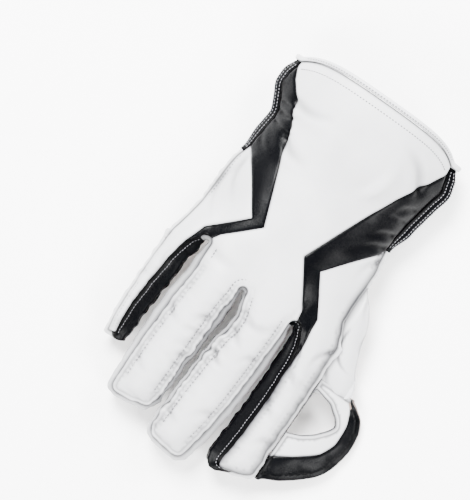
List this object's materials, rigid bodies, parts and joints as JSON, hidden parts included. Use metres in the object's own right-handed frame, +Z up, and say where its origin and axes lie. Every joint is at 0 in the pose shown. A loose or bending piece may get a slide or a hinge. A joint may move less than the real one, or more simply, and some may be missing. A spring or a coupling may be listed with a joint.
{
  "type": "wicketkeeping glove",
  "caption": "Right-hand wicketkeeping glove, palm down: white and black leather back, rubber-faced palm, webbed thumb and flared cuff.",
  "frame": {"origin": "middle of the glove's footprint, on the surface it lies on", "axes": "+Y from the cuff towards the fingertips, +X towards the little finger, +Z up through the back of the hand"},
  "size_m": [0.1906, 0.2846, 0.0647],
  "materials": {
    "white_leather": "satin",
    "black_leather": "satin",
    "palm_rubber": "matte"
  },
  "bodies": {
    "root": {"back_centre": "white_leather", "stripe_thumb": "black_leather", "stripe_little": "black_leather", "back_index": "white_leather", "back_little": "white_leather", "cuff_palm": "white_leather", "cuff_palm_wedge": "black_leather", "wrist_band": "black_leather", "palm_heel": "white_leather", "palm_facing": "palm_rubber", "welt_thumb": "black_leather", "side_index": "white_leather", "side_heel": "white_leather", "gusset_index": "black_leather", "gusset_centre": "white_leather", "gusset_little": "black_leather", "side_little": "white_leather", "welt_little": "black_leather", "rim_binding": "white_leather", "thumb_back": "white_leather", "thumb_facing": "palm_rubber", "web_trim": "black_leather", "web_panel": "white_leather", "web_facing": "palm_rubber"}
  },
  "joints": []
}
